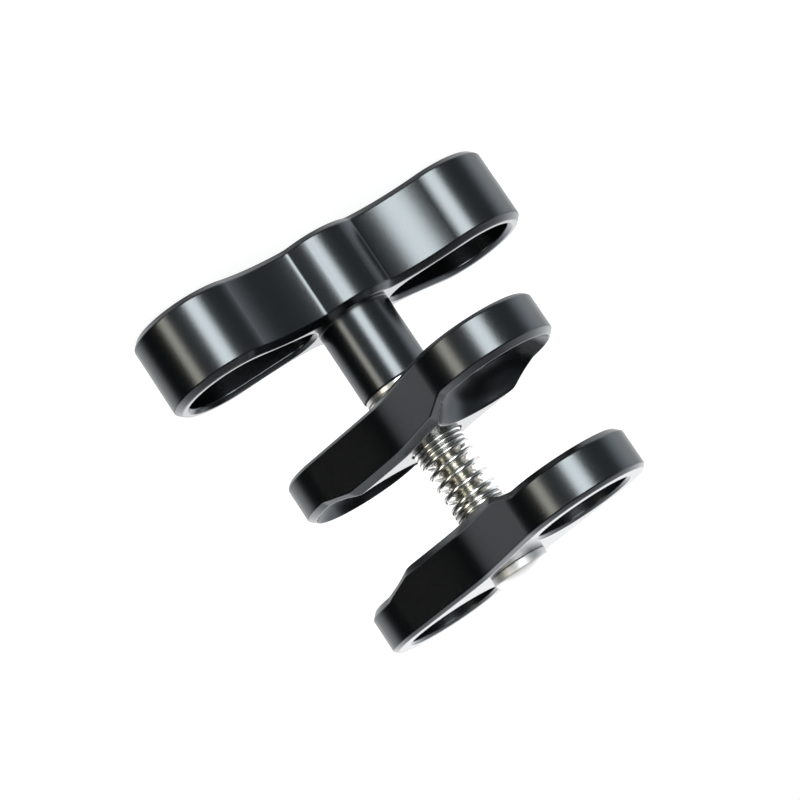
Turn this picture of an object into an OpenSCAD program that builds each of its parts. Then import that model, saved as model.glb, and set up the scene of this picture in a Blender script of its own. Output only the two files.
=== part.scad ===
// Ball clamp for camera and light arms, in millimetres.
// It stands on the flat face of its wing handle, with the screw upright and the screw's head on top.
// The origin is on the screw's axis, in the plane of that flat face.

/* [Wing handle] */
// Thickness of the handle bar, along the screw
wing_t = 14.8; // [13:0.1:18]
// Distance from the screw to the middle of each rounded end
wing_reach = 24.8; // [23:0.1:32]
// Radius of the rounded ends
wing_end_r = 11.2; // [10.5:0.1:14]
// Half the width of the bar at its hub
hub_half = 9.5; // [8.5:0.1:10.4]
// Half the length of the bulge on each side of the hub
hub_reach = 6.5; // [5.5:0.1:8]
// Half the width of the bar at its narrowest
neck_half = 7.2; // [6.8:0.1:8]
// Distance from the screw to the narrowest place
neck_x = 8; // [7:0.1:10]
// Chamfer along the outer edges of the bar
wing_edge = 1.1; // [0.4:0.1:1.8]
// Wall around the finger loops at the rounded ends
loop_wall = 2.8; // [2:0.1:4]
// Radius of a loop's narrow end, near the hub
loop_neck_r = 4.6; // [3.5:0.1:5.5]
// Distance from the screw to the middle of a loop's narrow end
loop_neck_x = 12.9; // [12.6:0.1:14]
// Chamfer around the mouths of the loops
loop_chamfer = 0.7; // [0.2:0.1:1]

/* [Sleeve] */
// Diameter of the sleeve below the bar
sleeve_d = 13.7; // [12.5:0.1:14.4]
// Length of the sleeve
sleeve_len = 14.1; // [10:0.1:24]
// Chamfer on the sleeve's end
sleeve_chamfer = 0.4; // [0.2:0.1:1]
// Solid left between the tapped hole and the handle's outer face
wing_floor = 3.2; // [2:0.1:5]

/* [Washers] */
// Thickness of each washer
washer_t = 0.9; // [0.5:0.1:1.5]
// Diameter of the washer next to the sleeve
thrust_washer_d = 13.2; // [11:0.1:14]
// Diameter of the washer next to the plate
slip_washer_d = 12.8; // [11:0.1:14]

/* [Ball plates] */
// Full thickness of a plate
plate_t = 10.2; // [9:0.1:13]
// Distance from the screw to the middle of each ball hole
ball_reach = 19.9; // [18.5:0.1:26]
// Radius of the rounded lobe around each ball hole
lobe_r = 12.4; // [12.3:0.1:14]
// Half the width of a plate at its waist
waist_half = 7.4; // [7.2:0.1:9.5]
// Radius of the round hole that a ball shows through
ball_hole_r = 8.75; // [8:0.05:9.5]
// Diameter of the balls that the plates grip
ball_d = 25.4; // [25:0.1:26]
// Gap between the plates when they grip a pair of balls
grip_gap = 7.6; // [7:0.1:9]
// Half the length of the thick pad in the middle of a plate
pad_half = 13.2; // [10:0.1:16]
// How much thinner a plate is at its ends
end_relief = 1.8; // [1:0.1:4]
// Slope of the ramp between the pad and the thinner ends
relief_slope = 17; // [12:1:30]
// Chamfer along a plate's outer edge
plate_edge = 0.7; // [0.5:0.1:2]
// Chamfer around a ball hole on the outer face
hole_chamfer = 0.5; // [0.2:0.1:1]
// Turn of the plates about the screw, measured from the handle bar
plate_turn = 67; // [0:1:180]

/* [Screw and spring] */
// Diameter of the screw's thread
screw_d = 6; // [5:0.5:7]
// Length of the screw under its head
screw_len = 50; // [46:0.5:54]
// Diameter of the button head
head_d = 10.5; // [9:0.1:12]
// Height of the button head
head_h = 3.7; // [3:0.1:5]
// Height of the head's straight rim, under its dome
head_rim = 1.4; // [0.4:0.1:2]
// Radial clearance of the screw in the plates and the washers
screw_clear = 0.08; // [0.02:0.01:0.3]
// Radial clearance of the screw in the handle's tapped hole
thread_clear = 0.05; // [0.02:0.01:0.1]
// Gap between the plates as the clamp stands, opened by the spring
open_gap = 14.7; // [13:0.1:18]
// Outer diameter of the spring
spring_d = 9.5; // [8.6:0.1:10.5]
// Diameter of the spring's wire
wire_d = 0.85; // [0.6:0.05:1]
// Depth of the spring's seat in each plate
seat_depth = 1.5; // [1:0.1:2.5]
// Radial clearance of the spring in its seats
seat_clear = 0.3; // [0.1:0.05:0.5]
// Close turns at the spring's end by the handle
close_turns_a = 3; // [1:1:4]
// Open turns of the spring
open_turns = 5; // [4:1:7]
// Close turns at the spring's end by the screw's head
close_turns_b = 2; // [1:1:3]

/* [Hidden] */
// Extra length that lets a cutting tool pass right through
eps = 0.5;
// Smoothness of round forms, of the loops and of the spring's wire
$fn = 96;
loop_sides = 72;
wire_sides = 10;
steps_per_turn = 24;

// Heights along the screw, from the handle's flat face up
sleeve_z = wing_t + sleeve_len;
slip_z = sleeve_z + washer_t;
upper_z = slip_z + washer_t;
upper_inner_z = upper_z + plate_t;
lower_inner_z = upper_inner_z + open_gap;
head_z = lower_inner_z + plate_t;
tip_z = head_z - screw_len;

// The concave side of the bar: one arc, tangent to the rounded end, lowest at neck_x
neck_r = (pow(wing_reach - neck_x, 2) + pow(neck_half, 2) - pow(wing_end_r, 2))
         / (2 * (wing_end_r - neck_half));
neck_y = neck_half + neck_r;
// Half the width where the neck's arc meets the hub's bulge
corner_half = neck_y - sqrt(pow(neck_r, 2) - pow(hub_reach - neck_x, 2));
// The hub's bulge: an arc through its middle and both corners
bulge = hub_half - corner_half;
hub_r = (pow(hub_reach, 2) + pow(bulge, 2)) / (2 * bulge);

// The round ends of a loop: distance from the screw and radius of each
loop_ends = [[wing_reach, wing_end_r - loop_wall], [loop_neck_x, loop_neck_r]];

// The plates' concave waist: one arc, tangent to both lobes
waist_r = (pow(waist_half, 2) + pow(ball_reach, 2) - pow(lobe_r, 2)) / (2 * (lobe_r - waist_half));
waist_y = waist_half + waist_r;
plate_half = ball_reach + lobe_r;
relief_len = end_relief / tan(relief_slope);
// The balls' centres lie in the middle of the grip gap
ball_r = ball_d / 2;

// The spring between the floors of its two seats
spring_seat_r = spring_d / 2 + seat_clear;
spring_z0 = upper_inner_z - seat_depth;
spring_z1 = lower_inner_z + seat_depth;
coil_r = (spring_d - wire_d) / 2;
wire_run = spring_z1 - spring_z0 - wire_d;
close_rise = wire_d * 1.04;
open_rise = (wire_run - (close_turns_a + close_turns_b) * close_rise) / open_turns;
spring_turns = close_turns_a + open_turns + close_turns_b;

black_anodised = [0.11, 0.12, 0.13];
stainless = [0.78, 0.79, 0.8];

// A round disc with chamfered edges on both faces
module chamfered_disc(r, t, edge) {
    rotate_extrude() polygon([[0, 0], [r - edge, 0], [r, edge], [r, t - edge], [r - edge, t], [0, t]]);
}

// A tool that cuts a concave side and leaves chamfered edges on both faces
module chamfered_neck_cut(r, t, edge) {
    rotate_extrude() polygon([
        [0, -eps], [r + edge + eps, -eps], [r, edge], [r, t - edge], [r + edge + eps, t + eps], [0, t + eps]
    ]);
}

// One finger loop at the +X end, cut through the bar: two round ends and the straight sides between them
module loop_cut() {
    hull() for (end = loop_ends) translate([end[0], 0, -eps])
        cylinder(r = end[1], h = wing_t + 2 * eps, $fn = loop_sides);
}

// The chamfer around a loop's mouth in the face z = 0: its slope starts inside the loop and ends above the face
module loop_mouth() {
    hull() for (end = loop_ends) translate([end[0], 0, -2 * loop_chamfer])
        cylinder(r1 = end[1] - loop_chamfer, r2 = end[1] + 2 * loop_chamfer, h = 3 * loop_chamfer, $fn = loop_sides);
}

// The part of the bar, at its +X end, between the hub and the rounded end, with a little overlap into the hub
module neck_prism(grow) {
    translate([0, 0, -grow]) linear_extrude(wing_t + 2 * grow) polygon([
        [hub_reach - eps, -neck_y], [neck_x, -neck_y], [wing_reach, 0], [neck_x, neck_y],
        [hub_reach - eps, neck_y]
    ]);
}

// The bar of the handle before the loops are cut
module wing_bar() {
    for (turn = [0, 180]) rotate(turn) {
        difference() {
            translate([wing_reach, 0, 0]) chamfered_disc(wing_end_r, wing_t, wing_edge);
            neck_prism(eps);
        }
        difference() {
            neck_prism(0);
            for (y = [-neck_y, neck_y]) translate([neck_x, y, 0]) chamfered_neck_cut(neck_r, wing_t, wing_edge);
        }
    }
    // the hub with its two bulged sides, which meet the necks in sharp corners
    intersection() {
        translate([-hub_reach - eps, -wing_end_r, 0]) cube([2 * (hub_reach + eps), 2 * wing_end_r, wing_t]);
        translate([0, hub_half - hub_r, 0]) chamfered_disc(hub_r, wing_t, wing_edge);
        translate([0, hub_r - hub_half, 0]) chamfered_disc(hub_r, wing_t, wing_edge);
    }
}

// The wing handle: the bar with its two finger loops, the sleeve and the blind tapped hole
module wing_handle() {
    color(black_anodised) difference() {
        union() {
            wing_bar();
            cylinder(d = sleeve_d, h = sleeve_z - sleeve_chamfer);
            translate([0, 0, sleeve_z - sleeve_chamfer])
                cylinder(d1 = sleeve_d, d2 = sleeve_d - 2 * sleeve_chamfer, h = sleeve_chamfer);
        }
        for (turn = [0, 180]) rotate(turn) {
            loop_cut();
            translate([0, 0, wing_t]) loop_mouth();
            mirror([0, 0, 1]) loop_mouth();
        }
        translate([0, 0, wing_floor])
            cylinder(d = screw_d + 2 * thread_clear, h = sleeve_z - wing_floor + eps);
    }
}

// A flat washer that the screw passes through
module washer(d) {
    difference() {
        cylinder(d = d, h = washer_t);
        translate([0, 0, -eps]) cylinder(d = screw_d + 2 * screw_clear, h = washer_t + 2 * eps);
    }
}

module thrust_washer() {
    color(stainless) translate([0, 0, sleeve_z]) washer(thrust_washer_d);
}

module slip_washer() {
    color(stainless) translate([0, 0, slip_z]) washer(slip_washer_d);
}

// A plate's lobe, with its chamfered outer edge at the top
module plate_lobe() {
    rotate_extrude()
        polygon([[0, 0], [lobe_r, 0], [lobe_r, plate_t - plate_edge], [lobe_r - plate_edge, plate_t], [0, plate_t]]);
}

// A tool that cuts one side of a plate's waist and chamfers its outer edge
module waist_cut() {
    rotate_extrude() polygon([
        [0, -eps], [waist_r, -eps], [waist_r, plate_t - plate_edge],
        [waist_r + plate_edge + eps, plate_t + eps], [0, plate_t + eps]
    ]);
}

// What is cut from a plate's inner face beyond the pad, at the +X end
module end_relief_cut() {
    translate([0, lobe_r + eps, 0]) rotate([90, 0, 0]) linear_extrude(2 * (lobe_r + eps)) polygon([
        [pad_half, 0],
        [pad_half + relief_len, end_relief],
        [plate_half + eps, end_relief],
        [plate_half + eps, -eps],
        [pad_half, -eps]
    ]);
}

// The part of a plate between the lines that join the lobes' centres to the waist arcs' centres
module waist_prism(grow) {
    translate([0, 0, -grow]) linear_extrude(plate_t + 2 * grow)
        polygon([[-ball_reach, 0], [0, -waist_y], [ball_reach, 0], [0, waist_y]]);
}

// One ball plate, lying with its inner face at z = 0 and its outer face up
module ball_plate() {
    difference() {
        union() {
            for (side = [-1, 1]) difference() {
                translate([side * ball_reach, 0, 0]) plate_lobe();
                waist_prism(eps);
            }
            difference() {
                waist_prism(0);
                for (y = [-waist_y, waist_y]) translate([0, y, 0]) waist_cut();
            }
        }
        for (turn = [0, 180]) rotate(turn) {
            end_relief_cut();
            translate([ball_reach, 0, -eps]) cylinder(r = ball_hole_r, h = plate_t + 2 * eps);
            translate([ball_reach, 0, -grip_gap / 2]) sphere(ball_r);
            translate([ball_reach, 0, plate_t - hole_chamfer])
                cylinder(r1 = ball_hole_r, r2 = ball_hole_r + hole_chamfer + eps, h = hole_chamfer + eps);
        }
        translate([0, 0, -eps]) cylinder(d = screw_d + 2 * screw_clear, h = plate_t + 2 * eps);
        translate([0, 0, -eps]) cylinder(r = spring_seat_r, h = seat_depth + eps);
    }
}

// The plate next to the handle, inner face towards the screw's head
module upper_plate() {
    color(black_anodised) rotate(plate_turn) translate([0, 0, upper_inner_z]) mirror([0, 0, 1]) ball_plate();
}

// The plate under the screw's head
module lower_plate() {
    color(black_anodised) rotate(plate_turn) translate([0, 0, lower_inner_z]) ball_plate();
}

// Height of the wire's centre after a number of turns, counted from the handle's end
function wire_z(turn) =
    let (close_a = min(turn, close_turns_a),
         open = min(max(turn - close_turns_a, 0), open_turns),
         close_b = max(turn - close_turns_a - open_turns, 0))
    spring_z0 + wire_d / 2 + close_a * close_rise + open * open_rise + close_b * close_rise;

// The coil spring: a round wire swept along a helix with close turns at both ends
module spring() {
    rings = spring_turns * steps_per_turn;
    points = [for (i = [0:rings], j = [0:wire_sides - 1])
        let (turn = i / steps_per_turn, a = 360 * turn, b = 360 * j / wire_sides,
             r = coil_r + wire_d / 2 * cos(b))
        [r * cos(a), r * sin(a), wire_z(turn) + wire_d / 2 * sin(b)]];
    sides = [for (i = [0:rings - 1], j = [0:wire_sides - 1])
        let (k = (j + 1) % wire_sides, n = i * wire_sides)
        [n + j, n + wire_sides + j, n + wire_sides + k, n + k]];
    start = [for (j = [0:wire_sides - 1]) j];
    finish = [for (j = [wire_sides - 1:-1:0]) rings * wire_sides + j];
    color(stainless) polyhedron(points, concat(sides, [start, finish]));
}

// The clamp screw: button head on top, plain shank of the thread's diameter below
module clamp_screw() {
    tip_chamfer = screw_d / 8;
    dome_h = head_h - head_rim;
    dome_r = (pow(head_d / 2, 2) + pow(dome_h, 2)) / (2 * dome_h);
    color(stainless) {
        translate([0, 0, tip_z + tip_chamfer]) cylinder(d = screw_d, h = screw_len - tip_chamfer);
        translate([0, 0, tip_z]) cylinder(d1 = screw_d - 2 * tip_chamfer, d2 = screw_d, h = tip_chamfer);
        translate([0, 0, head_z]) cylinder(d = head_d, h = head_rim);
        intersection() {
            translate([0, 0, head_z]) cylinder(d = head_d, h = head_h);
            translate([0, 0, head_z + head_h - dome_r]) sphere(dome_r);
        }
    }
}

wing_handle();
thrust_washer();
slip_washer();
upper_plate();
lower_plate();
spring();
clamp_screw();
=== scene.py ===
"""Looks of the ball arm clamp: anodised plates and wing handle, and steel screw, spring and washers."""
import math

import bmesh
import bpy
import numpy as np
from mathutils import Matrix, Vector


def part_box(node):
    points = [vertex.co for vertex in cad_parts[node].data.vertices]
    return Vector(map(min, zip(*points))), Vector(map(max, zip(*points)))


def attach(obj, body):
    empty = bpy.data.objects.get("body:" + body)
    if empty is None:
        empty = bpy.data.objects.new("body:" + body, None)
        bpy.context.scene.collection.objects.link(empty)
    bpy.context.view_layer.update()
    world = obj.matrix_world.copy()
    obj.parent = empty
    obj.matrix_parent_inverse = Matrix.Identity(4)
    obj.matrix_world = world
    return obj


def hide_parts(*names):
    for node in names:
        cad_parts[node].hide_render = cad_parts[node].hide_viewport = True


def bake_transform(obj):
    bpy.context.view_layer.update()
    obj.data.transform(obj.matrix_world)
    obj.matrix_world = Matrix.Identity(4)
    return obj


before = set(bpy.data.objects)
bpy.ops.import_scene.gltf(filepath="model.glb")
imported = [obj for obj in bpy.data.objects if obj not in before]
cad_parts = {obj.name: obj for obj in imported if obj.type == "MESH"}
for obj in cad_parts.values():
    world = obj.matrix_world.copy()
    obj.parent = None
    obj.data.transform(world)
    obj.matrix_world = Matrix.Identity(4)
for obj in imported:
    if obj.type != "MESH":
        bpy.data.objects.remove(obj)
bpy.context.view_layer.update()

# All sizes are in millimetres and angles in degrees, until a mesh is made
MM = 0.001

# The wing handle
wing_t = 14.8
wing_reach = 24.8
wing_end_r = 11.2
hub_half = 9.5
hub_reach = 6.5
neck_half = 7.2
neck_x = 8
hub_crease = 0.3
corner_zone = 0.8
hub_seam_x = 7.17
loop_middle_x = 20
wing_edge = 1.1
loop_wall = 2.8
loop_neck_r = 4.6
loop_neck_x = 12.9
loop_chamfer = 0.7
sleeve_d = 13.7
sleeve_chamfer = 0.4
sleeve_foot = 0.2
sleeve_foot_r = 0.15
tap_r = 3.05
wing_floor = 3.2

# The ball plates
plate_t = 10.2
ball_reach = 19.9
lobe_r = 12.4
flank_lean = 12
waist_fillet = 1.1
waist_seam_x = 6.1
ball_hole_r = 8.75
ball_r = 12.7
grip_gap = 7.6
pad_half = 13.2
end_relief = 1.8
relief_slope = 17
plate_edge = 0.7
inner_edge = 1.4
hole_chamfer = 0.5
mouth_lip = 0.1
bore_lip = 0.3
face_crease = 0.1
ramp_crease = 0.08
plate_turn = 67
seat_r = 5.05
seat_depth = 1.5
bore_r = 3.08

# The screw, spring and washers
screw_d = 6
screw_len = 50
tip_chamfer = 0.8
neck_cut = 0.1
thread_pitch = 1
thread_depth = 0.45
head_d = 10.5
head_rim = 1.4
dome_ease = 3
spring_d = 9.5
wire_d = 0.85
close_turns_a = 4.6
open_turns = 4
close_turns_b = 4.4
close_pitch = 1.04

# Edges: the rounding of a chamfer's corners, the radius of an edge that is only broken, how near the extra
# lines lie that keep flat faces flat, and how far in from a chamfer a flat face starts
soft = 0.2
broken_edge = 0.12
hold = 0.05
flat_start = 0.3

# Where a flat face has its rows of points, as shares of the way from its inner line to its outer one
flat_rows = np.array([0, 0.03, 0.5, 0.97, 1])

# The photograph's camera: its distance, height and aim in millimetres, its turns in degrees, its focal
# length in pixels of a picture that is 800 wide, and the width of the sensor that Blender gives it
camera_distance = 484.57
camera_height = 118.33
camera_aim_x = -1.235
camera_aim_z = 31.251
camera_roll = 33.703
camera_turn = 21.9
camera_focal = 2881.36
picture_width = 800
sensor_width = 36


def smooth_max(a, b, k):
    """The larger of a and b, with the crease rounded: half of a + b + sqrt((a - b)^2 + k^2)."""
    return 0.5 * (a + b + np.sqrt((a - b) ** 2 + k * k))


def arc(centre, radius, start, end, count):
    """Points of a circle about centre: centre + radius (cos a, sin a), with a from start to end in degrees."""
    a = np.radians(np.linspace(start, end, count))
    return np.stack([centre[0] + radius * np.cos(a), centre[1] + radius * np.sin(a)], -1)


def left_normals(line, first, last):
    """Unit normals to the left of a line of points, with those at its two ends given."""
    along = np.gradient(line, axis=0)
    normals = np.stack([-along[:, 1], along[:, 0]], -1)
    normals /= np.linalg.norm(normals, axis=1, keepdims=True)
    normals[0], normals[-1] = first, last
    return normals


def even_line(line, step):
    """The same line with points at even steps of its length."""
    run = np.concatenate([[0], np.cumsum(np.linalg.norm(np.diff(line, axis=0), axis=1))])
    spots = np.linspace(0, run[-1], max(int(run[-1] / step), 2) + 1)
    return np.stack([np.interp(spots, run, line[:, 0]), np.interp(spots, run, line[:, 1])], -1)


def round_path(corners, radii, steps=7):
    """A section line through corners, each rounded by the parabola (1-t)^2 A + 2t(1-t) P + t^2 B about
    corner P. A and B lie a radius away from P along its two sides, and an extra point just past each
    keeps the sides flat."""
    corners = np.asarray(corners, float)
    path = [corners[:1]]
    t = np.linspace(0, 1, steps)[:, None]
    for before, corner, after, radius in zip(corners, corners[1:], corners[2:], radii):
        to_a = (before - corner) / np.linalg.norm(before - corner)
        to_b = (after - corner) / np.linalg.norm(after - corner)
        a, b = corner + radius * to_a, corner + radius * to_b
        curve = (1 - t) ** 2 * a + 2 * t * (1 - t) * corner + t**2 * b
        path += [a[None] + hold * to_a, curve, b[None] + hold * to_b]
    return np.concatenate(path + [corners[-1:]])


def edge_section(height, foot, top, steps=5, spread=0):
    """Section of a wall from z = 0 to height: its inset from the outline and its height at each point, and
    how many points its foot has. The foot and the top are chamfers of those sizes at 45 degrees, and the
    flat faces beyond them start at an inset of the chamfer and flat_start. The foot's slope gets as many
    extra points as spread."""
    corners = [(foot + flat_start, 0), (foot, 0), (0, foot), (0, height - top), (top, height),
               (top + flat_start, height)]
    path = round_path(corners, [soft] * 4, steps)
    slope = np.linspace(path[steps + 2], path[steps + 3], spread + 2)[1:-1]
    path = np.concatenate([path[:steps + 3], slope, path[steps + 3:]])
    return path[:, 0], path[:, 1], 2 * steps + 5 + spread


def wall(edge, normals, inset, z):
    """A wall along an edge: point (i, k) is edge i moved by -inset k along its normal, at height z k."""
    flat = edge[:, None] - normals[:, None] * inset[None, :, None]
    return np.dstack([flat, np.broadcast_to(z, flat.shape[:2])])


def ring(inner, outer, shares, z):
    """A flat face between two lines: inner + share (outer - inner), at height z."""
    flat = inner[:, None] + shares[None, :, None] * (outer - inner)[:, None]
    return np.dstack([flat, np.full(flat.shape[:2], float(z))])


def turned(centre_x, bearings, section):
    """A surface of revolution about the upright line through (centre_x, 0): section points are (radius, z)."""
    x = centre_x + section[None, :, 0] * np.cos(bearings)[:, None]
    y = section[None, :, 0] * np.sin(bearings)[:, None]
    return np.dstack([x, y, np.broadcast_to(section[None, :, 1], x.shape)])


def seen_from(centre_x, points):
    """Bearings of points from (centre_x, 0), in radians."""
    return np.arctan2(points[:, 1], points[:, 0] - centre_x)


def by_bearing(line, values, centre_x, bearings):
    """The values of a line's points, such as their places or normals, read off where rays from (centre_x,
    0) at those bearings cross it. The line goes round that point from bearing 180 to 0."""
    own = seen_from(centre_x, line)[::-1]
    return np.stack([np.interp(bearings, own, values[::-1, i]) for i in range(2)], -1)


def four_ways(patch):
    """A patch of the quarter x, y > 0 and its three mirror images in the planes x = 0 and y = 0."""
    return [patch * np.array([sx, sy, 1]) for sx in (1, -1) for sy in (1, -1)]


def closed_mesh(name, patches, material, turn=0, lift=0, flip=1):
    """One closed mesh in metres of patches, each a grid of points in millimetres. Their heights are
    multiplied by flip, then they are lifted and turned about Z, and points that meet become one."""
    points, quads, start = [], [], 0
    for grid in patches:
        rows, columns = grid.shape[:2]
        index = start + np.arange(rows * columns).reshape(rows, columns)
        corners = np.stack([index[:-1, :-1], index[1:, :-1], index[1:, 1:], index[:-1, 1:]], -1)
        quads.append(corners.reshape(-1, 4))
        points.append(grid.reshape(-1, 3))
        start += rows * columns
    co = np.concatenate(points) * [1, 1, flip] + [0, 0, lift]
    c, s = math.cos(math.radians(turn)), math.sin(math.radians(turn))
    co = co @ np.array([[c, s, 0], [-s, c, 0], [0, 0, 1]]) * MM
    mesh = bpy.data.meshes.new(name)
    mesh.from_pydata(co.tolist(), [], np.concatenate(quads).tolist())
    shape = bmesh.new()
    shape.from_mesh(mesh)
    bmesh.ops.remove_doubles(shape, verts=shape.verts, dist=0.002 * MM)
    bmesh.ops.dissolve_degenerate(shape, edges=shape.edges, dist=0.0005 * MM)
    bmesh.ops.recalc_face_normals(shape, faces=shape.faces)
    shape.to_mesh(mesh)
    shape.free()
    mesh.polygons.foreach_set("use_smooth", np.ones(len(mesh.polygons), bool))
    mesh.materials.append(material)
    piece = bpy.data.objects.new(name, mesh)
    bpy.context.scene.collection.objects.link(piece)
    return piece


# Node helpers


def link(tree, output, target):
    """Join an output socket to an input socket."""
    tree.links.new(output, target)


def add_node(tree, kind, **values):
    """A node of that kind. Values named after sockets are set or linked, the rest are its own settings."""
    node = tree.nodes.new(kind)
    sockets = {}
    for name, value in values.items():
        if hasattr(node, name) and not isinstance(value, bpy.types.NodeSocket):
            setattr(node, name, value)
        else:
            sockets[name] = value
    for name, value in sockets.items():
        if isinstance(value, bpy.types.NodeSocket):
            link(tree, value, node.inputs[name])
        else:
            node.inputs[name].default_value = value
    return node


def math_node(tree, operation, *operands):
    """The result of one arithmetic step on numbers or sockets."""
    node = tree.nodes.new("ShaderNodeMath")
    node.operation = operation
    for socket, value in zip(node.inputs, operands):
        if isinstance(value, bpy.types.NodeSocket):
            link(tree, value, socket)
        else:
            socket.default_value = value
    return node.outputs[0]


def mix_colours(tree, share, low, high):
    """A colour between low and high, by a share."""
    node = add_node(tree, "ShaderNodeMix", data_type="RGBA")
    node.inputs[6].default_value = low
    node.inputs[7].default_value = high
    link(tree, share, node.inputs[0])
    return node.outputs[2]


def map_range(tree, value, low, high, start=0, end=1):
    """A value's run from start to end, carried over to low to high."""
    node = add_node(tree, "ShaderNodeMapRange", Value=value)
    node.inputs["From Min"].default_value = start
    node.inputs["From Max"].default_value = end
    node.inputs["To Min"].default_value = low
    node.inputs["To Max"].default_value = high
    return node.outputs[0]


def blast_group():
    """Bead blasting: a normal with a fine grain in object space, and the grain itself as a mask. Grain size
    and Depth are in millimetres."""
    group = bpy.data.node_groups.new("bead_blast", "ShaderNodeTree")
    for name in ("Grain size", "Depth"):
        group.interface.new_socket(name, in_out="INPUT", socket_type="NodeSocketFloat")
    group.interface.new_socket("Normal", in_out="OUTPUT", socket_type="NodeSocketVector")
    group.interface.new_socket("Grain", in_out="OUTPUT", socket_type="NodeSocketFloat")
    entry, leave = group.nodes.new("NodeGroupInput"), group.nodes.new("NodeGroupOutput")
    place = add_node(group, "ShaderNodeTexCoord")
    scale = math_node(group, "DIVIDE", 1 / MM, entry.outputs["Grain size"])
    fine = add_node(group, "ShaderNodeTexNoise", Vector=place.outputs["Object"], Scale=scale, Detail=2.0,
                    Roughness=0.6)
    depth = math_node(group, "MULTIPLY", entry.outputs["Depth"], MM)
    height = math_node(group, "MULTIPLY", fine.outputs["Fac"], depth)
    bump = add_node(group, "ShaderNodeBump", Height=height, Strength=1.0, Distance=1.0)
    link(group, bump.outputs["Normal"], leave.inputs["Normal"])
    link(group, fine.outputs["Fac"], leave.inputs["Grain"])
    return group


def new_material(name):
    """A material with only its Principled BSDF, and that shader."""
    material = bpy.data.materials.new(name)
    material.use_nodes = True
    return material, material.node_tree, material.node_tree.nodes["Principled BSDF"]


def blasted_metal(name, blast, grain_size, depth):
    """A metal whose normal carries the blasted grain. Gives the material, its tree, its shader and the
    grain's mask."""
    material, tree, shader = new_material(name)
    grain = tree.nodes.new("ShaderNodeGroup")
    grain.node_tree = blast
    grain.inputs["Grain size"].default_value = grain_size
    grain.inputs["Depth"].default_value = depth
    link(tree, grain.outputs["Normal"], shader.inputs["Normal"])
    shader.inputs["Metallic"].default_value = 1
    return material, tree, shader, grain.outputs["Grain"]


def anodised_material(blast):
    """Bead-blasted, blue-black anodised aluminium: a satin metal whose tint and gloss follow the grain."""
    material, tree, shader, grain = blasted_metal("anodised", blast, grain_size=0.22, depth=0.0105)
    tint = mix_colours(tree, grain, low=(0.085, 0.092, 0.1, 1), high=(0.115, 0.122, 0.13, 1))
    link(tree, tint, shader.inputs["Base Color"])
    link(tree, map_range(tree, grain, low=0.17, high=0.29), shader.inputs["Roughness"])
    return material


def steel_material(name, blast, colour, roughness, grain_size, depth):
    """Bright stainless steel with faint marks, whose gloss follows the grain."""
    material, tree, shader, grain = blasted_metal(name, blast, grain_size, depth)
    shader.inputs["Base Color"].default_value = (*colour, 1)
    rough = map_range(tree, grain, low=roughness * 0.8, high=roughness * 1.25)
    link(tree, rough, shader.inputs["Roughness"])
    return material


def screw_material(blast):
    """The screw's stainless steel: a bright rolled thread, and from the head's foot up a matt surface. The
    thread's colour is painted shade, darker than the steel for the spring round it, and the head's white is
    painted light.
    """
    material, tree, shader, _ = blasted_metal("stainless_screw", blast, grain_size=0.15, depth=0.003)
    place = add_node(tree, "ShaderNodeTexCoord")
    height = add_node(tree, "ShaderNodeSeparateXYZ", Vector=place.outputs["Object"]).outputs["Z"]
    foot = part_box("lower_plate")[1].z
    blur = 0.1 * MM
    head = map_range(tree, height, low=0, high=1, start=foot - blur, end=foot + blur)
    # Painted shade and light: the thread is tinted darker than the steel and the head is painted white
    tint = mix_colours(tree, head, low=(0.6, 0.58, 0.53, 1), high=(1, 1, 1, 1))
    link(tree, tint, shader.inputs["Base Color"])
    link(tree, map_range(tree, head, low=0.25, high=0.52), shader.inputs["Roughness"])
    return material


# The wing handle


def wing_outline():
    """A quarter of the bar's outline, from the middle of the hub to the tip: the larger of the hub's bulge
    and the neck's hollow, with a small fillet in the corner between them, and then the round end. The
    bulge is an arc over the hub's half reach, and the hollow an arc that touches the round end. The side
    comes down by an eighth of hub_crease squared, about what the rounding adds. Points lie closer
    together in the corner_zone."""
    neck_r = ((wing_reach - neck_x) ** 2 + neck_half**2 - wing_end_r**2) / (2 * (wing_end_r - neck_half))
    neck_y = neck_half + neck_r
    corner_half = neck_y - math.sqrt(neck_r**2 - (hub_reach - neck_x) ** 2)
    bulge = hub_half - corner_half
    hub_r = (hub_reach**2 + bulge**2) / (2 * bulge)
    lean = math.degrees(math.atan2(neck_y, neck_x - wing_reach))
    last_x = wing_reach + wing_end_r * math.cos(math.radians(lean))
    x = np.linspace(0, last_x, 1500)
    hub_y = hub_half - hub_r + np.sqrt(np.maximum(hub_r**2 - x**2, 0))
    hollow_y = neck_y - np.sqrt(neck_r**2 - (x - neck_x) ** 2)
    hollow_y = np.where(x < hub_reach / 2, 0, hollow_y)
    side = np.stack([x, smooth_max(hub_y, hollow_y, hub_crease) - hub_crease**2 / 8], -1)
    end = arc((wing_reach, 0), wing_end_r, lean, 0, 600)
    line = even_line(np.concatenate([side, end[1:]]), 0.03)
    keep = np.abs(line[:, 0] - hub_reach) < corner_zone
    keep[::8] = keep[-1] = True
    normals = left_normals(line, (0, 1), (1, 0))
    return line[keep], normals[keep]


def loop_edge():
    """Half of a finger loop's edge, from its narrow end to its wide one: an arc, a straight side, an arc."""
    loop_end_r = wing_end_r - loop_wall
    slant = math.degrees(math.asin((loop_end_r - loop_neck_r) / (wing_reach - loop_neck_x)))
    narrow = arc((loop_neck_x, 0), loop_neck_r, 180, 90 + slant, 200)
    wide = arc((wing_reach, 0), loop_end_r, 90 + slant, 0, 400)
    line = even_line(np.concatenate([narrow, wide]), 0.05)
    return line, left_normals(line, (-1, 0), (1, 0))


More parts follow.
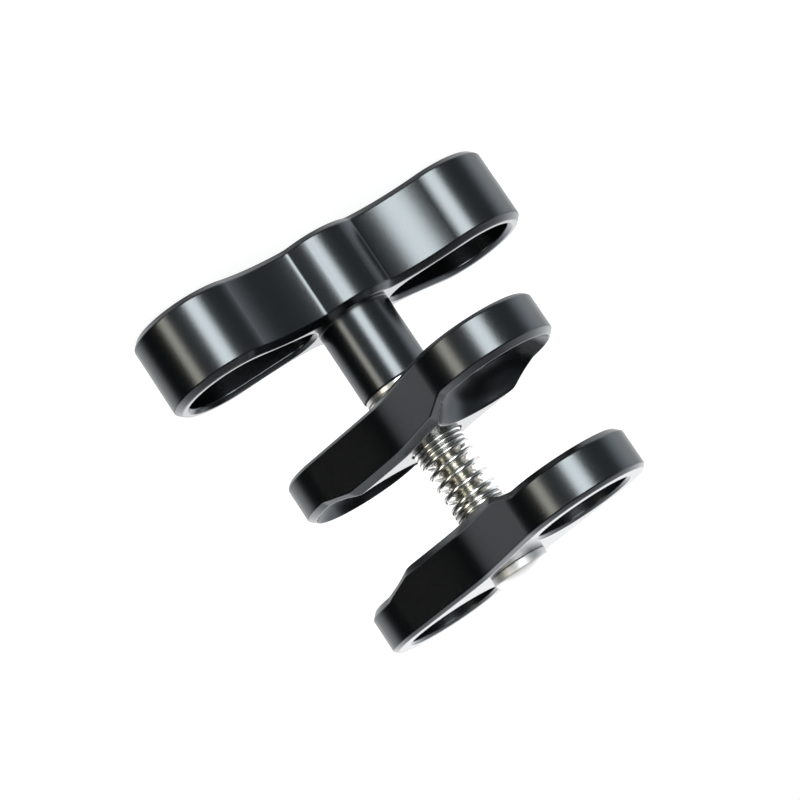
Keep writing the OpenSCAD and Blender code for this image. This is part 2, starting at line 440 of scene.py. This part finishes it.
def wing_handle(material):
    """The handle: outer wall, loop walls, both flat faces, and the sleeve with its tapped hole. Each flat
    face is parted by a straight seam at hub_seam_x into a ring round the loop and one round the sleeve,
    whose lines are matched by their bearings from the middle of each."""
    outline, normals = wing_outline()
    inset, z, _ = edge_section(wing_t, wing_edge, wing_edge)
    patches = four_ways(wall(outline, normals, inset, z))
    cut = int(np.argmin(np.abs(outline[:, 0] - hub_seam_x)))
    rim = outline - normals * (wing_edge + flat_start)
    seam = np.linspace((hub_seam_x, 0), rim[cut], 22)
    around = np.concatenate([seam, rim[cut + 1:]])
    loop, loop_normals = loop_edge()
    bearings = seen_from(loop_middle_x, around)
    edge = by_bearing(loop, loop, loop_middle_x, bearings)
    edge_normals = by_bearing(loop, loop_normals, loop_middle_x, bearings)
    edge_normals /= np.linalg.norm(edge_normals, axis=1, keepdims=True)
    mouth, mouth_z, _ = edge_section(wing_t, loop_chamfer, loop_chamfer)
    patches += four_ways(wall(edge, edge_normals, -mouth, mouth_z))
    mouth_line = edge + edge_normals * (loop_chamfer + flat_start)
    for height in (0, wing_t):
        patches += four_ways(ring(mouth_line, around, flat_rows, height))
    hub = np.concatenate([seam, rim[:cut][::-1]])
    bearings = seen_from(0, hub)
    patches += four_ways(ring(np.zeros_like(hub), hub, flat_rows, 0))
    sleeve_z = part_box("wing_handle")[1].z / MM
    sleeve_r = sleeve_d / 2
    section = round_path(
        [(sleeve_r + sleeve_foot, wing_t), (sleeve_r, wing_t), (sleeve_r, sleeve_z), (tap_r, sleeve_z),
         (tap_r, wing_floor), (0, wing_floor)],
        [sleeve_foot_r, sleeve_chamfer, 0.3, 0.2])
    patches += four_ways(turned(0, bearings, section))
    foot = (sleeve_r + sleeve_foot) * np.stack([np.cos(bearings), np.sin(bearings)], -1)
    patches += four_ways(ring(foot, hub, flat_rows, wing_t))
    return closed_mesh("handle_piece", patches, material)


# The ball plates


def plate_outline():
    """A quarter of a plate's outline, from the middle of the waist to the tip: a straight flank, tangent to
    the lobe's arc, and the lobe's arc. At the waist the flank and its mirror image meet in a wide
    fillet. The little that the fillet still adds where the lobe begins is taken off along the flank, by
    the square of its run."""
    lean = math.radians(flank_lean)
    touch_x, touch_y = ball_reach - lobe_r * math.sin(lean), lobe_r * math.cos(lean)
    x = np.linspace(0, touch_x, 1500)
    flank_y = touch_y - (touch_x - x) * math.tan(lean)
    mirror_y = touch_y - (touch_x + x) * math.tan(lean)
    fillet = smooth_max(flank_y, mirror_y, waist_fillet)
    flank = np.stack([x, fillet + (touch_y - fillet[-1]) * (x / touch_x) ** 2], -1)
    lobe = arc((ball_reach, 0), lobe_r, 90 + flank_lean, 0, 1000)
    line = even_line(np.concatenate([flank, lobe[1:]]), 0.05)
    normals = left_normals(line, (0, 1), (1, 0))
    keep = np.zeros(len(line), bool)
    keep[::5] = keep[-1] = True
    return line[keep], normals[keep]


def seat_height(x, y):
    """Height of the ball seat's sphere above the plate's inner plane, far below it outside the sphere."""
    reach = (x - ball_reach) ** 2 + y**2
    return np.sqrt(np.maximum(ball_r**2 - reach, 0)) - grip_gap / 2


def relief_height(x):
    """Height of the inner face: 0 on the pad, then a ramp, then end_relief on the plate's thinner end."""
    slope = (x - pad_half) * math.tan(math.radians(relief_slope))
    rising = smooth_max(slope, 0, ramp_crease)
    return -smooth_max(-rising, -end_relief, ramp_crease)


def inner_face(x, y, edge_rise):
    """Height of the inner face and the ball seat together: the larger of the two, with the seat's mouth
    broken. The face's height has edge_rise added, which is how far a chamfer has climbed there."""
    return smooth_max(seat_height(x, y), relief_height(x) + edge_rise, face_crease)


def ball_plate(name, material, lift, flip):
    """A plate: outer wall with two chamfers, flat outer face, relieved inner face with two ball seats, the
    ball holes, the spring's seat and the screw's hole. It is made with its inner face at z = 0, which lift
    and flip then put where it belongs. A straight seam at waist_seam_x parts each face into a ring round
    the ball hole and one round the screw."""
    outline, normals = plate_outline()
    inset, z, foot = edge_section(plate_t, inner_edge, plate_edge, spread=12)
    side = wall(outline, normals, inset, z)
    low = side[:, :foot]
    low[..., 2] = inner_face(low[..., 0], low[..., 1], low[..., 2])
    patches = four_ways(side)
    cut = int(np.argmin(np.abs(outline[:, 0] - waist_seam_x)))
    seams = {}
    for face, edge in (("inner", inner_edge), ("outer", plate_edge)):
        rim = outline - normals * (edge + flat_start)
        seam = np.linspace((waist_seam_x, 0), rim[cut], 30)
        seams[face] = (np.concatenate([seam, rim[cut + 1:]]), np.concatenate([seam, rim[:cut][::-1]]))
    lobe_in, middle_in = seams["inner"]
    lobe_out, middle_out = seams["outer"]
    bearings = seen_from(ball_reach, lobe_in)
    directions = np.stack([np.cos(bearings), np.sin(bearings)], -1)
    seat_z = seat_height(ball_reach + ball_hole_r, 0)
    low_r = ball_hole_r + mouth_lip
    low_z = inner_face(ball_reach + low_r, 0, 0)
    section = round_path(
        [(ball_hole_r + hole_chamfer + mouth_lip, plate_t), (ball_hole_r + hole_chamfer, plate_t),
         (ball_hole_r, plate_t - hole_chamfer), (ball_hole_r, seat_z), (low_r, low_z)],
        [0.05, 0.1, 0.05], 5)
    patches += four_ways(turned(ball_reach, bearings, section))
    top_r = section[0, 0]
    patches += four_ways(ring((ball_reach, 0) + top_r * directions, lobe_out, flat_rows, plate_t))
    seat = ring((ball_reach, 0) + low_r * directions, lobe_in, np.linspace(0, 1, 60), 0)
    seat[..., 2] = inner_face(seat[..., 0], seat[..., 1], 0)
    patches += four_ways(seat)
    bearings = seen_from(0, middle_in)
    directions = np.stack([np.cos(bearings), np.sin(bearings)], -1)
    rim_z = inner_face(np.zeros(1), np.zeros(1), 0)[0]
    section = round_path(
        [(seat_r + bore_lip, rim_z), (seat_r, rim_z), (seat_r, seat_depth), (bore_r, seat_depth),
         (bore_r, plate_t), (bore_r + bore_lip, plate_t)],
        [0.15, 0.1, 0.15, 0.15], 5)
    patches += four_ways(turned(0, bearings, section))
    middle = ring(section[0, 0] * directions, middle_in, np.linspace(0, 1, 14), 0)
    middle[..., 2] = inner_face(middle[..., 0], middle[..., 1], 0)
    patches += four_ways(middle)
    patches += four_ways(ring(section[-1, 0] * directions, middle_out, flat_rows, plate_t))
    return closed_mesh(name, patches, material, plate_turn, lift, flip)


# The screw, the spring and the washers


def full_turn(count):
    """Bearings right round, in radians, with the first one repeated at the end."""
    return np.linspace(0, 2 * np.pi, count + 1)


def washer(name, node, material):
    """A flat washer with broken edges, a section turned about the screw's axis, as large as the CAD node."""
    low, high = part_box(node)
    r, z0, z1 = high.x / MM, low.z / MM, high.z / MM
    corners = [(bore_r + 0.5, z0), (r, z0), (r, z1), (bore_r, z1), (bore_r, z0), (bore_r + 0.5, z0)]
    section = round_path(corners, [broken_edge] * 4, 5)
    return closed_mesh(name, [turned(0, full_turn(96), section)], material)


def clamp_screw(material):
    """The screw: a dome turned about the axis, and a thread whose radius follows the height less the turn
    made. Over one pitch the ridge rises and falls in straight flanks, cut flat at crest and root, and
    the tip is chamfered."""
    low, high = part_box("clamp_screw")
    tip, top = low.z / MM, high.z / MM
    head_z = tip + screw_len
    dome_h = top - head_z - head_rim
    dome_r = ((head_d / 2) ** 2 + dome_h**2) / (2 * dome_h)
    lean = math.degrees(math.asin(head_d / 2 / dome_r))
    dome = arc((0, top - dome_r), dome_r, 90 - lean + dome_ease, 90, 40)
    neck_r = screw_d / 2 - neck_cut
    under = round_path([(neck_r, head_z), (head_d / 2, head_z), (head_d / 2, head_z + head_rim), dome[0]],
                       [0.15, 0.25], 6)
    around = full_turn(72)
    head = turned(0, around, np.concatenate([under, dome[1:]]))
    z = np.linspace(tip, head_z, int((head_z - tip) / thread_pitch * 12))
    phase = (z[None] / thread_pitch - around[:, None] / (2 * np.pi)) % 1
    ridge = np.clip(1.3 * (1 - np.abs(2 * phase - 1)) - 0.12, 0, 1)
    r = screw_d / 2 - thread_depth * (1 - ridge)
    r = np.minimum(r, screw_d / 2 - tip_chamfer + (z - tip)[None])
    r[:, -1] = neck_r
    shank = np.dstack([r * np.cos(around)[:, None], r * np.sin(around)[:, None], np.broadcast_to(z, r.shape)])
    end = shank[:, :1] * np.array([0, 0, 1])
    return closed_mesh("screw_piece", [head, shank, np.concatenate([end, shank[:, :1]], 1)], material)


def wire_height(turn, z0, z1):
    """Height of the wire's centre after some turns: close turns, open turns and close turns again."""
    close_rise = wire_d * close_pitch
    open_rise = (z1 - z0 - wire_d - (close_turns_a + close_turns_b) * close_rise) / open_turns
    close_a = np.minimum(turn, close_turns_a)
    wide = np.clip(turn - close_turns_a, 0, open_turns)
    close_b = np.maximum(turn - close_turns_a - open_turns, 0)
    return z0 + wire_d / 2 + (close_a + close_b) * close_rise + wide * open_rise


def spring(material):
    """The spring: a circle of the wire's radius carried along a helix, and a flat cap on each end."""
    low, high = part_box("spring")
    turns = close_turns_a + open_turns + close_turns_b
    turn = np.linspace(0, turns, int(turns * 40) + 1)
    a = 2 * np.pi * turn
    b = full_turn(14)
    coil_r = (spring_d - wire_d) / 2
    centre_z = wire_height(turn, low.z / MM, high.z / MM)
    r = coil_r + wire_d / 2 * np.cos(b)[None]
    z = centre_z[:, None] + wire_d / 2 * np.sin(b)[None]
    tube = np.dstack([r * np.cos(a)[:, None], r * np.sin(a)[:, None], z])
    caps = []
    for i in (0, -1):
        middle = np.broadcast_to(tube[i:][:1].mean(1, keepdims=True), (1, tube.shape[1], 3))
        caps.append(np.concatenate([tube[i:][:1], middle]))
    return closed_mesh("spring_piece", [tube, *caps], material)


# Camera, light and floor


def photo_camera():
    """The camera at the photograph's place, fitted to the object's outline. Gives the way that it looks."""
    turned_z = Matrix.Rotation(math.radians(camera_turn), 4, "Z")
    place = turned_z @ Vector((0, camera_distance, camera_height))
    ahead = (turned_z @ Vector((camera_aim_x, 0, camera_aim_z)) - place).normalized()
    side = ahead.cross(Vector((0, 0, -1))).normalized()
    over = side.cross(ahead)
    c, s = math.cos(math.radians(camera_roll)), math.sin(math.radians(camera_roll))
    right, up = c * side - s * over, s * side + c * over
    data = bpy.data.cameras.new("camera")
    data.sensor_width = sensor_width
    data.lens = camera_focal / picture_width * sensor_width
    data.clip_start, data.clip_end = 0.05, 20
    camera = bpy.data.objects.new("camera", data)
    camera.matrix_world = Matrix.Translation(place * MM) @ Matrix((right, up, -ahead)).transposed().to_4x4()
    bpy.context.scene.collection.objects.link(camera)
    bpy.context.scene.camera = camera
    return ahead


def studio(ahead):
    """A pale room behind the object and over it, and a dim one in front. A wide faint box, two upright soft
    boxes and one at the side stand there, at bearings from the front that count up towards the picture's
    left. The camera itself sees white."""
    world = bpy.data.worlds.new("studio")
    bpy.context.scene.world = world
    world.use_nodes = True
    tree = world.node_tree
    background = tree.nodes["Background"]
    look = add_node(tree, "ShaderNodeTexCoord").outputs["Generated"]

    def along(direction):
        node = tree.nodes.new("ShaderNodeVectorMath")
        node.operation = "DOT_PRODUCT"
        link(tree, look, node.inputs[0])
        node.inputs[1].default_value = direction
        return node.outputs["Value"]

    def step(value, start, end):
        node = add_node(tree, "ShaderNodeMapRange", interpolation_type="SMOOTHSTEP")
        link(tree, value, node.inputs["Value"])
        node.inputs["From Min"].default_value = start
        node.inputs["From Max"].default_value = end
        return node.outputs[0]

    def add_light(total, amount, colour):
        node = add_node(tree, "ShaderNodeMix", data_type="RGBA", blend_type="ADD")
        link(tree, amount, node.inputs[0])
        link(tree, total, node.inputs[6])
        node.inputs[7].default_value = (*colour, 1)
        return node.outputs[2]

    front = Vector((-ahead.x, -ahead.y, 0)).normalized()
    right = Vector((-front.y, front.x, 0))
    bearing = math_node(tree, "ARCTAN2", along(right), along(front))
    bearing = math_node(tree, "MULTIPLY", bearing, 180 / math.pi)
    height = add_node(tree, "ShaderNodeSeparateXYZ", Vector=look).outputs["Z"]
    end_blur = 0.05

    def soft_box(centre, half, blur, low, high):
        off = math_node(tree, "ABSOLUTE", math_node(tree, "SUBTRACT", bearing, centre))
        wide = step(off, half + blur, half - blur)
        over_low = step(height, low - end_blur, low + end_blur)
        under_high = step(height, high + end_blur, high - end_blur)
        return math_node(tree, "MULTIPLY", wide, math_node(tree, "MULTIPLY", over_low, under_high))

    dim = add_node(tree, "ShaderNodeRGB")
    dim.outputs[0].default_value = (0.02, 0.022, 0.024, 1)
    total = dim.outputs[0]
    total = add_light(total, step(along(ahead), 0.2, 0.62), (0.95, 0.95, 0.95))
    above = (Vector((ahead.x, ahead.y, 0)).normalized() + Vector((0, 0, 1.2))).normalized()
    total = add_light(total, step(along(above), 0.55, 0.85), (1.25, 1.25, 1.25))
    # A box's bearing, half its width and its blur are in degrees, and its ends are the sines of elevations
    total = add_light(total, soft_box(-30, 80, 12, -0.75, 0.6), (0.12, 0.137, 0.137))
    total = add_light(total, soft_box(-17, 13, 5, -0.75, 0.35), (6.3, 6.55, 6.4))
    total = add_light(total, soft_box(44, 8, 4, -0.75, 0.35), (2.9, 2.7, 2.25))
    total = add_light(total, soft_box(-105, 14, 14, -0.75, 0.6), (0.9, 0.95, 1))
    path = add_node(tree, "ShaderNodeLightPath")
    seen = add_node(tree, "ShaderNodeMix", data_type="RGBA")
    link(tree, path.outputs["Is Camera Ray"], seen.inputs[0])
    link(tree, total, seen.inputs[6])
    seen.inputs[7].default_value = (1, 1, 1, 1)
    link(tree, seen.outputs[2], background.inputs["Color"])


def pale_floor():
    """The floor under the handle's flat face, 3 m to each side: near white to the camera, with the object's
    soft shadow. It isn't seen in the metal and throws no shadow."""
    mesh = bpy.data.meshes.new("floor")
    half = 3.0
    corners = [(-half, -half, 0), (half, -half, 0), (half, half, 0), (-half, half, 0)]
    mesh.from_pydata(corners, [], [(0, 1, 2, 3)])
    material, tree, shader = new_material("floor")
    shader.inputs["Base Color"].default_value = (0.35, 0.36, 0.37, 1)
    shader.inputs["Roughness"].default_value = 0.9
    shader.inputs["Emission Color"].default_value = (1, 1, 1, 1)
    path = add_node(tree, "ShaderNodeLightPath")
    glow = math_node(tree, "MULTIPLY", path.outputs["Is Camera Ray"], 0.9)
    link(tree, glow, shader.inputs["Emission Strength"])
    mesh.materials.append(material)
    floor = bpy.data.objects.new("floor", mesh)
    floor.location.z = -0.02 * MM
    floor.visible_glossy = False
    floor.visible_shadow = False
    bpy.context.scene.collection.objects.link(floor)


bpy.context.scene.view_settings.view_transform = "Standard"
studio(photo_camera())
pale_floor()

blast = blast_group()
anodised = anodised_material(blast)
stainless = steel_material(
    "stainless", blast, colour=(0.8, 0.79, 0.77), roughness=0.3, grain_size=0.15, depth=0.003)
wire = steel_material(
    "spring_wire", blast, colour=(0.8, 0.795, 0.78), roughness=0.22, grain_size=0.3, depth=0.001)

handle = wing_handle(anodised)
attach(handle, "handle")
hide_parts("wing_handle")

upper_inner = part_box("upper_plate")[1].z
upper = ball_plate("upper_plate_piece", anodised, upper_inner / MM, -1)
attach(upper, "sleeve_plate")
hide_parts("upper_plate")

lower_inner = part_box("lower_plate")[0].z
lower = ball_plate("lower_plate_piece", anodised, lower_inner / MM, 1)
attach(lower, "head_plate")
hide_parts("lower_plate")

for node in ("thrust_washer", "slip_washer"):
    piece = washer(node + "_piece", node, stainless)
    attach(piece, "washers")
    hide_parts(node)

screw = clamp_screw(screw_material(blast))
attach(screw, "screw")
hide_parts("clamp_screw")

coil = spring(wire)
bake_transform(coil)
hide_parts("spring")
